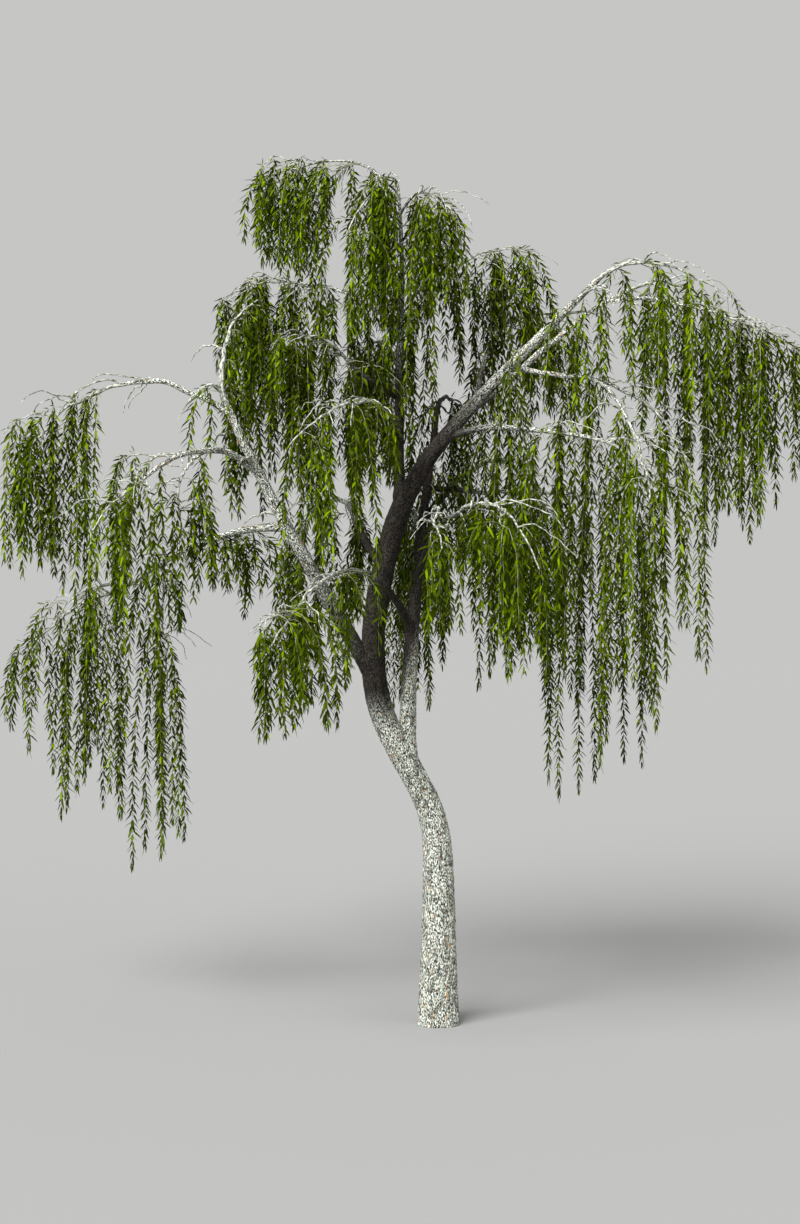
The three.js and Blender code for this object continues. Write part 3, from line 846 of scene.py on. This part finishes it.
def tube(path, level, radius, step, sides, relief=0.0, offset=0.0):
    """Vertices, faces and bark grain of a tube. radius gives its radius for shares and lengths along it."""
    shares, places = even_shares(path, step)
    centres, ahead = path.at(shares), along(path, shares)
    side = unit(level - (ahead @ level)[:, None] * ahead)
    top = np.cross(side, ahead)
    turns = np.linspace(0, 2 * np.pi, sides, endpoint=False)
    aside, above = np.sin(turns), np.cos(turns)
    around = aside[None, :, None] * side[:, None] + above[None, :, None] * top[:, None]
    radii = np.broadcast_to(radius(shares, places)[:, None], (len(shares), sides))
    grain = np.empty((len(shares), sides, 3))
    grain[..., 0] = radii * aside + offset
    grain[..., 1] = radii * above
    grain[..., 2] = places[:, None] * GRAIN_STRETCH
    if relief:
        radii = radii * (1 + relief * bark_relief(grain))
    rings = centres[:, None] + around * radii[..., None]
    tip = centres[-1] + ahead[-1] * radii[-1].mean() * TIP_LENGTH
    vertices = np.vstack([rings.reshape(-1, 3), centres[:1], tip[None]])
    ends = [[offset, 0, places[end] * GRAIN_STRETCH] for end in (0, -1)]
    return vertices, tube_faces(len(shares), sides), np.vstack([grain.reshape(-1, 3), ends])


# Bark

GRAIN_STRETCH = 0.36  # the bark's pattern is this much finer round a limb than along it
RELIEF = 0.075
RIDGE_SIZE, LUMP_SIZE, CRUMB_SIZE = 30, 75, 11
RIDGE_HEIGHT, LUMP_HEIGHT, CRUMB_HEIGHT = 0.55, 0.45, 0.28
SIDES_PER_MM, BASE_SIDES, SIDE_LIMITS = 0.4, 7, [8, 40]
COLLAR = SimpleNamespace(swell=0.4, within=0.84, out=0.8, fade=0.5, least_fade=20)

# Where painted shade darkens the bark: round the crown's axis, from a height that differs from left to
# right, to the top
AXIS = [-300, 0]
INNER_FROM, INNER_TO = 450, 1500
DARK_FROM, DARK_FROM_RIGHT, DARK_FADE = 2900, 3700, 550
LEFT_OF_FORK, RIGHT_OF_FORK = -480, -150
TOP_FROM, TOP_TO, TOP_LIGHTER = 6500, 7300, 0.85


def bark_relief(grain):
    """Height of the bark's ridges, from about -1 to 1."""
    ridges = 1 - np.abs(2 * noise(grain / RIDGE_SIZE) - 1) * 2
    lumps = 2 * noise(grain / LUMP_SIZE + 11) - 1
    crumbs = 2 * noise(grain / CRUMB_SIZE + 5) - 1
    return RIDGE_HEIGHT * ridges + LUMP_HEIGHT * lumps + CRUMB_HEIGHT * crumbs


def away_from_axis(points):
    return np.hypot(points[..., 0] - AXIS[0], points[..., 1] - AXIS[1])


def painted_crown_shade(points):
    """How far points are into the middle of the crown, whose shade is painted on the bark, from 0 to 1."""
    across, height = points[:, 0], points[:, 2]
    to_right = (DARK_FROM_RIGHT - DARK_FROM) * rise(across, LEFT_OF_FORK, RIGHT_OF_FORK)
    above = smooth((height - (DARK_FROM + to_right)) / DARK_FADE)
    below_top = 1 - TOP_LIGHTER * rise(height, TOP_FROM, TOP_TO)
    return above * below_top * (1 - rise(away_from_axis(points), INNER_FROM, INNER_TO))


def collar(limb, parent):
    """Radius of a limb that swells where it leaves its parent."""
    rule = COLLAR
    inside, thin = float(parent.radius(limb.start)), float(limb.radius(0))
    swell = max(0, min(rule.swell * thin, rule.within * inside - thin))

    def radius(shares, places):
        out = np.maximum(0, places - inside * rule.out)
        return limb.radius(shares) + swell * np.exp(-out / (rule.fade * inside + rule.least_fade))

    return radius


def sides_for(radius):
    return int(np.clip(round(radius * SIDES_PER_MM) + BASE_SIDES, *SIDE_LIMITS))


def add_bark(parts, vertices, faces, grain):
    # Each vertex keeps how much painted shade the bark gets inside the crown
    parts.add(vertices, faces, 0, grain, painted_crown_shade(vertices))


def bark_piece(name, material, vertices, faces, grain):
    parts = Parts()
    add_bark(parts, vertices, faces, grain)
    return parts.make(f"bark_{name}", [material], bark=True)


AWAY = np.array([0.0, 1.0, 0.0])
LINE_STEP = 20
LINE_ROUNDS = 90  # of smoothing where one limb goes on as the next
FLARE, FLARE_HEIGHT = 0.05, 120
TRUNK_STEP, TRUNK_SIDES = 15, 92
LIMB_STEP, LIMB_STEP_LIMITS = 0.45, [14, 26]  # between rings, as a share of the radius and in millimetres
LIMB_OFFSET = 1000  # between the bark patterns of two limbs


def main_line(limbs):
    """The trunk, the left stem and the right bough as one unbroken line, with its radius."""
    points, radii = [], []
    for name, (first, last) in MAIN_LINE.items():
        shares, _ = even_shares(limbs[name].path, LINE_STEP)
        shares = shares[(shares >= first) & (shares <= last)]
        points.append(limbs[name].path.at(shares))
        radii.append(limbs[name].radius(shares))
    line = np.column_stack([np.vstack(points), np.concatenate(radii)])
    for _ in range(LINE_ROUNDS):
        line[1:-1] = (line[:-2] + 2 * line[1:-1] + line[2:]) / 4
    return Traced(line[:, :3]), line[:, 3]


def trunk_piece(limbs, material):
    path, radii = main_line(limbs)
    places = np.linspace(0, 1, len(radii))

    def radius(shares, lengths):
        flare = 1 + FLARE * np.exp(-lengths / FLARE_HEIGHT)
        return np.interp(shares, places, radii) * flare

    return bark_piece("trunk", material, *tube(path, AWAY, radius, TRUNK_STEP, TRUNK_SIDES, relief=RELIEF))


def limb_piece(limb, limbs, material, number):
    thick = float(limb.radius(0))
    radius = collar(limb, limbs[limb.on])
    step = np.clip(thick * LIMB_STEP, *LIMB_STEP_LIMITS)
    offset = LIMB_OFFSET * (number + 1)
    grown = tube(limb.path, limb.level, radius, step, sides_for(thick), relief=RELIEF, offset=offset)
    return bark_piece(limb.name, material, *grown)


# Twigs and leaves

STEM_TIP, STEM_END, SIDE_END = 7, 6, 3.2
STEM_OFFSET, MASS_OFFSET, SIDE_OFFSET = 40000, 700, 90  # between the bark patterns of stems
LEAF_RULE = SimpleNamespace(
    pair_shift=0.22, shift=4, turn=9, roll=14,
    length=[0.72, 1.16], width=[0.8, 1.15], tilt=[0.6, 1.3], curl=[0.08, 0.24],
    first_size=0.6, last_size=0.72, last_tilt=0.45,
)


def stem_tube(path, level, start, end, offset):
    def radius(shares, _):
        return mix(start, end, shares**0.8)

    return tube(path, level, radius, step=34, sides=7, relief=RELIEF * 0.8, offset=offset)


def strand_tube(strand):
    def radius(shares, _):
        return mix(*strand.radii, shares)

    return tube(strand.path, strand.level, radius, step=85, sides=3)[:2]


def leaf_places(strand, draw):
    """Where the leaves of a strand stand: root, direction of the strand, way out, share of the strand."""
    rule = LEAF_RULE
    shares, lengths = length_table(strand.path, 40)
    start = np.interp(strand.bare, shares, lengths)
    pairs = np.arange(start, lengths[-1], PAIR_STEP)
    pairs = pairs + draw.uniform(-rule.pair_shift, rule.pair_shift, len(pairs)) * PAIR_STEP
    places = np.repeat(pairs, 2) + draw.uniform(-rule.shift, rule.shift, 2 * len(pairs))
    at = np.interp(np.clip(places, 0, lengths[-1]), lengths, shares)
    ahead = along(strand.path, at)
    side = unit(strand.level - (ahead @ strand.level)[:, None] * ahead)
    top = np.cross(side, ahead)
    pair_turns = np.arange(len(pairs)) * PAIR_TURN + draw.uniform(0, 360)
    turns = np.repeat(pair_turns, 2) + np.tile([0, 180], len(pairs)) + draw.normal(0, rule.turn, len(at))
    turns = np.radians(turns)
    out = np.sin(turns)[:, None] * side + np.cos(turns)[:, None] * top
    return strand.path.at(at), ahead, out, at


def leaf_arrays(strand, draw):
    """Vertices and faces of a strand's leaves, and their count. The first and the last are smaller."""
    rule = LEAF_RULE
    roots, ahead, out, at = leaf_places(strand, draw)
    count = len(roots)
    small, last = rule.first_size, rule.last_size
    grown = np.interp(at, [0, strand.bare + 0.02, strand.bare + 0.2, 0.9, 1], [small, small, 1, 1, last])
    length = LEAF_LENGTH * grown * draw.uniform(*rule.length, count)
    width = LEAF_WIDTH * grown * draw.uniform(*rule.width, count)
    spread = LEAF_TILT * draw.uniform(*rule.tilt, count)
    tilt = np.radians(spread * np.interp(at, [0, 0.93, 1], [1, 1, rule.last_tilt]))
    pointing = unit(np.cos(tilt)[:, None] * ahead + np.sin(tilt)[:, None] * out)
    ridge = unit(out - np.sum(out * pointing, axis=1, keepdims=True) * pointing)
    across = np.cross(ridge, pointing)
    roll = np.radians(draw.normal(0, rule.roll, count))[:, None]
    cos, sin = np.cos(roll), np.sin(roll)
    ridge, across = cos * ridge + sin * across, cos * across - sin * ridge
    curl = draw.uniform(*rule.curl, count)
    corners = []
    for sideways, forward, lift in LEAF_CORNERS:
        place = across * (sideways * width)[:, None] + pointing * (forward * length)[:, None]
        height = lift * width - curl * forward**2 * length
        corners.append(roots + place + ridge * height[:, None])
    vertices = np.stack(corners, axis=1).reshape(-1, 3)
    faces = (LEAF_FACES[None] + np.arange(count)[:, None, None] * len(LEAF_CORNERS)).reshape(-1, 3)
    return vertices, faces, count


# Corners of a leaf: share of its width to the side, share of its length, and lift as a share of its width
LEAF_CORNERS = [
    (0, 0, 0), (-0.5, 0.34, 0.12), (0, 0.32, -0.04), (0.5, 0.34, 0.12),
    (-0.36, 0.7, 0.1), (0, 0.68, -0.03), (0.36, 0.7, 0.1), (0, 1, 0),
]
LEAF_FACES = np.array(
    [[0, 2, 1], [0, 3, 2], [1, 2, 5], [1, 5, 4], [2, 3, 6], [2, 6, 5], [4, 5, 7], [5, 6, 7]]
)

# By how much painted light and shade at each place make a strand's green brighter or darker, and over which
# millimetres. The spreads by strand and by leaf are random tone.
PAINTED_LIGHT_AND_TONE = SimpleNamespace(inner=0.9, outer=2.0, high=1.2, front=0.3, low=[0.3, 1.1], strand=0.5, leaf=1.2)
PAINTED_LIGHT_RANGE = SimpleNamespace(
    away=[300, 2200], high=[6400, 8400], low=[5600, 3100], right=[-400, 1600], front=[1300, -1300]
)


def painted_light_and_tone_of(strand, draw):
    """Which green a strand has: painted light makes it brighter outside, at the top and in front, and
    painted shade makes it darker low down. The darker green inside is also the deeper green of shade
    leaves. A random tone by strand is added.
    """
    middle = strand.path.at(0.6)
    across, depth, height = middle
    outside = rise(away_from_axis(middle), *PAINTED_LIGHT_RANGE.away)
    high, low = rise(height, *PAINTED_LIGHT_RANGE.high), rise(height, *PAINTED_LIGHT_RANGE.low)
    right, front = rise(across, *PAINTED_LIGHT_RANGE.right), rise(depth, *PAINTED_LIGHT_RANGE.front)
    place = mix(PAINTED_LIGHT_AND_TONE.inner, PAINTED_LIGHT_AND_TONE.outer, outside) + PAINTED_LIGHT_AND_TONE.high * high + mix(-PAINTED_LIGHT_AND_TONE.front, PAINTED_LIGHT_AND_TONE.front, front)
    return place - low * mix(*PAINTED_LIGHT_AND_TONE.low, right) + draw.normal(0, PAINTED_LIGHT_AND_TONE.strand)


def leaf_slots(strand_light_and_tone, count, draw):
    # Each leaf's green: its strand's painted light and shade and tone, with a random tone by leaf
    each = np.round(strand_light_and_tone + draw.normal(0, PAINTED_LIGHT_AND_TONE.leaf, count))
    return np.repeat(np.clip(each, 0, len(LEAF_GREENS) - 1), len(LEAF_FACES))


def mass_strands(mass, stems, masses, limbs, everything, draw):
    """All strands of a mass, from its stem and side stems, its bough and the limb that this is on."""
    strands = source_strands(mass, masses, limbs)
    own_stem = SimpleNamespace(path=mass.path, first=0.05, away=mass.spread * 0.8, stands=[0, 1])
    carriers = [own_stem, *[stem for stem in stems if stem.leafy]]
    near = [SimpleNamespace(path=mass.bough.path, first=0.3)] * 2
    if mass.bough.on not in ("trunk", "left_stem", "right_stem"):
        near.append(SimpleNamespace(path=limbs[mass.bough.on].path, first=0.5))
    strands += plume_strands(mass, carriers + near, everything + strands, limbs, draw)
    strands += fine_strands(mass, carriers, strands, masses, limbs, draw)
    strands += bough_strands(mass, everything + strands, limbs, draw)
    everything += strands
    for strand in list(strands):
        strands += companion_strands(strand, mass.fullness, draw)
    return strands


def mass_pieces(mass, masses, limbs, everything, materials):
    """The stems and strands of a mass as one piece, and its leaves as another."""
    draw = np.random.default_rng(SEEDS["growth"] + mass.number)
    tip_radius = float(mass.bough.radius(1))
    mass.stem_radius = lambda share: mix(tip_radius, STEM_TIP, share)
    stems = side_stems(mass, masses, limbs, draw)
    strands = mass_strands(mass, stems, masses, limbs, everything, draw)

    twigs, leaves = Parts(), Parts()
    offset = STEM_OFFSET + MASS_OFFSET * mass.number
    add_bark(twigs, *stem_tube(mass.path, mass.level, tip_radius, STEM_END, offset))
    for stem in stems:
        offset += SIDE_OFFSET
        add_bark(twigs, *stem_tube(stem.path, stem.level, stem.thick, SIDE_END, offset))
    for strand in strands:
        vertices, faces = strand_tube(strand)
        twigs.add(vertices, faces, 1 + draw.integers(len(TWIG_TINTS)))
        vertices, faces, count = leaf_arrays(strand, draw)
        # Leaves get their greens by painted light and shade and by random tone
        leaves.add(vertices, faces, leaf_slots(painted_light_and_tone_of(strand, draw), count, draw))
    twig_piece = twigs.make(f"twigs_{mass.name}", [materials.young_bark, *materials.twigs], bark=True)
    return twig_piece, leaves.make(f"leaves_{mass.name}", materials.leaves)


# Materials


def linear(*channels):
    """Colour on screen, from 0 to 255, as the shaders take it."""
    values = np.array(channels, float) / 255
    made = np.where(values <= 0.04045, values / 12.92, ((values + 0.055) / 1.055) ** 2.4)
    return (*made.tolist(), 1.0)


# Greens from darkest to brightest, dealt out by painted light and shade and by random tone
LEAF_GREENS = [(31, 39, 0), (42, 54, 0), (56, 71, 0), (76, 94, 0), (103, 126, 2)]
TWIG_TINTS = [(186, 184, 166), (160, 158, 132), (128, 132, 88)]


def set_inputs(node, values):
    for name, value in values.items():
        node.inputs[name].default_value = value


def new_material(name, roughness, specular):
    material = bpy.data.materials.new(name)
    material.use_nodes = True
    shader = material.node_tree.nodes["Principled BSDF"]
    set_inputs(shader, {"Roughness": roughness, "Specular IOR Level": specular})
    return material, material.node_tree, shader


def plain_material(name, colour, roughness, specular):
    material, _, shader = new_material(name, roughness, specular)
    set_inputs(shader, {"Base Color": linear(*colour)})
    return material


def add_noise(tree, vector, scale, detail, roughness=0.5, distortion=0.0):
    node = tree.nodes.new("ShaderNodeTexNoise")
    set_inputs(node, {"Scale": scale, "Detail": detail, "Roughness": roughness, "Distortion": distortion})
    tree.links.new(vector, node.inputs["Vector"])
    return node.outputs["Fac"]


def add_ramp(tree, value, stops):
    """Colours over a value. A stop has a colour on screen, or one number for a grey."""
    node = tree.nodes.new("ShaderNodeValToRGB")
    elements = node.color_ramp.elements
    while len(elements) < len(stops):
        elements.new(0.5)
    for element, (place, colour) in zip(elements, stops):
        element.position = place
        element.color = (colour, colour, colour, 1) if np.isscalar(colour) else linear(*colour)
    tree.links.new(value, node.inputs["Fac"])
    return node.outputs["Color"]


def add_mix(tree, share, first, second, kind="MIX"):
    node = tree.nodes.new("ShaderNodeMix")
    node.data_type = "RGBA"
    node.blend_type = kind
    for value, socket in ((share, 0), (first, 6), (second, 7)):
        if isinstance(value, bpy.types.NodeSocket):
            tree.links.new(value, node.inputs[socket])
        else:
            node.inputs[socket].default_value = value
    return node.outputs[2]


def add_attribute(tree, name, output):
    node = tree.nodes.new("ShaderNodeAttribute")
    node.attribute_name = name
    return node.outputs[output]


def finish_bark(tree, shader, colour, inner, height, strength, distance):
    """Colour of a bark, with painted shade that darkens it inside the crown, and its relief."""
    painted_shade_colour = add_mix(tree, 1.0, colour, linear(*inner), "MULTIPLY")
    painted_shade = add_attribute(tree, "painted_shade", "Fac")
    tree.links.new(add_mix(tree, painted_shade, colour, painted_shade_colour), shader.inputs["Base Color"])
    bump = tree.nodes.new("ShaderNodeBump")
    set_inputs(bump, {"Strength": strength, "Distance": distance})
    tree.links.new(height, bump.inputs["Height"])
    tree.links.new(bump.outputs["Normal"], shader.inputs["Normal"])


def young_bark_material():
    """Smoother, paler bark of the thin boughs, with painted shade inside the crown."""
    material, tree, shader = new_material("young_bark", roughness=0.8, specular=0.2)
    grain = add_attribute(tree, "grain", "Vector")
    speckle = add_noise(tree, grain, scale=70, detail=3, roughness=0.6)
    colour = add_ramp(tree, speckle, [(0.4, (78, 78, 70)), (0.48, (142, 144, 132)), (0.6, (202, 206, 194))])
    # inner is the colour that multiplies the bark where shade is painted inside the crown
    finish_bark(tree, shader, colour, inner=(84, 76, 70), height=speckle, strength=0.5, distance=0.004)
    return material


def bark_material():
    """Pale speckled bark with dark furrows, brown streaks, large lighter and darker patches, and painted
    shade inside the crown.
    """
    material, tree, shader = new_material("willow_bark", roughness=0.85, specular=0.25)
    grain = add_attribute(tree, "grain", "Vector")
    speckle = add_noise(tree, grain, scale=135, detail=2.5, roughness=0.55, distortion=0.3)
    plates = add_noise(tree, grain, scale=20, detail=5, roughness=0.62, distortion=0.6)
    patches = add_noise(tree, grain, scale=3.2, detail=2)
    flecks = add_noise(tree, grain, scale=33, detail=3, roughness=0.6, distortion=0.5)

    pits = [(0.41, (20, 20, 17)), (0.47, (82, 83, 74))]
    skin = [(0.525, (163, 169, 156)), (0.575, (251, 254, 248))]
    colour = add_ramp(tree, speckle, pits + skin)
    groove = add_ramp(tree, plates, [(0.38, 0.25), (0.47, 1)])
    colour = add_mix(tree, 0.85, colour, groove, "MULTIPLY")
    tone = add_ramp(tree, patches, [(0.35, (226, 228, 222)), (0.65, (255, 255, 253))])
    colour = add_mix(tree, 1.0, colour, tone, "MULTIPLY")
    rust = add_ramp(tree, flecks, [(0.6, 0), (0.67, 0.85)])
    colour = add_mix(tree, rust, colour, linear(150, 114, 70))
    height = add_mix(tree, 0.5, speckle, plates)
    # inner is the colour that multiplies the bark where shade is painted inside the crown
    finish_bark(tree, shader, colour, inner=(70, 62, 57), height=height, strength=0.9, distance=0.012)
    return material


def make_materials():
    leaves = [plain_material(f"leaf_green_{i}", tint, 0.6, 0.03) for i, tint in enumerate(LEAF_GREENS)]
    twigs = [plain_material(f"twig_{i}", tint, 0.7, 0.3) for i, tint in enumerate(TWIG_TINTS)]
    bark, young_bark = bark_material(), young_bark_material()
    return SimpleNamespace(bark=bark, young_bark=young_bark, leaves=leaves, twigs=twigs)


# Studio

LENS = 55.95
SENSOR = 36
FLOOR_TINT = (151, 151, 150)
SKY_TINT = (238, 238, 236)
SKY_STRENGTH = 0.66


def make_camera():
    camera = add_object("camera", bpy.data.cameras.new("camera"))
    camera.data.lens = LENS
    camera.data.sensor_width = SENSOR
    camera.location = CAMERA_PLACE
    camera.rotation_euler = (np.pi / 2, 0, 0)
    camera.data.clip_end = 400
    bpy.context.scene.camera = camera


def make_light(name, energy, angle, turn):
    lamp = bpy.data.lights.new(name, "SUN")
    lamp.energy = energy
    lamp.angle = np.radians(angle)
    add_object(name, lamp).rotation_euler = np.radians(turn)


def make_studio():
    make_light("key", energy=6.0, angle=42, turn=(52, 0, -32))
    make_light("fill", energy=0.5, angle=60, turn=(62, 0, 50))
    bpy.context.scene.view_settings.view_transform = "Standard"
    world = bpy.context.scene.world or bpy.data.worlds.new("studio")
    bpy.context.scene.world = world
    world.use_nodes = True
    sky = world.node_tree.nodes["Background"]
    set_inputs(sky, {"Color": linear(*SKY_TINT), "Strength": SKY_STRENGTH})
    bpy.ops.mesh.primitive_circle_add(vertices=96, radius=160, fill_type="NGON")
    floor = bpy.context.object
    floor.name = "floor"
    floor.data.materials.append(plain_material("studio_floor", FLOOR_TINT, 0.9, 0.1))


def dress(piece, slot, *nodes):
    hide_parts(*nodes)
    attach(piece, "root")


def build():
    materials = make_materials()
    limbs = make_limbs()
    masses = [make_mass(name, row, limbs, number) for number, (name, row) in enumerate(MASSES.items())]
    dress(trunk_piece(limbs, materials.bark), "bark", *MAIN_LINE)
    for number, limb in enumerate(limbs.values()):
        if limb.name not in MAIN_LINE:
            dress(limb_piece(limb, limbs, materials.bark, number), "bark", limb.name)
    everything = []
    for mass in masses:
        twigs, leaves = mass_pieces(mass, masses, limbs, everything, materials)
        dress(twigs, "bark", f"foliage_{mass.name}")
        dress(leaves, "foliage", f"foliage_{mass.name}")


make_camera()
make_studio()
build()
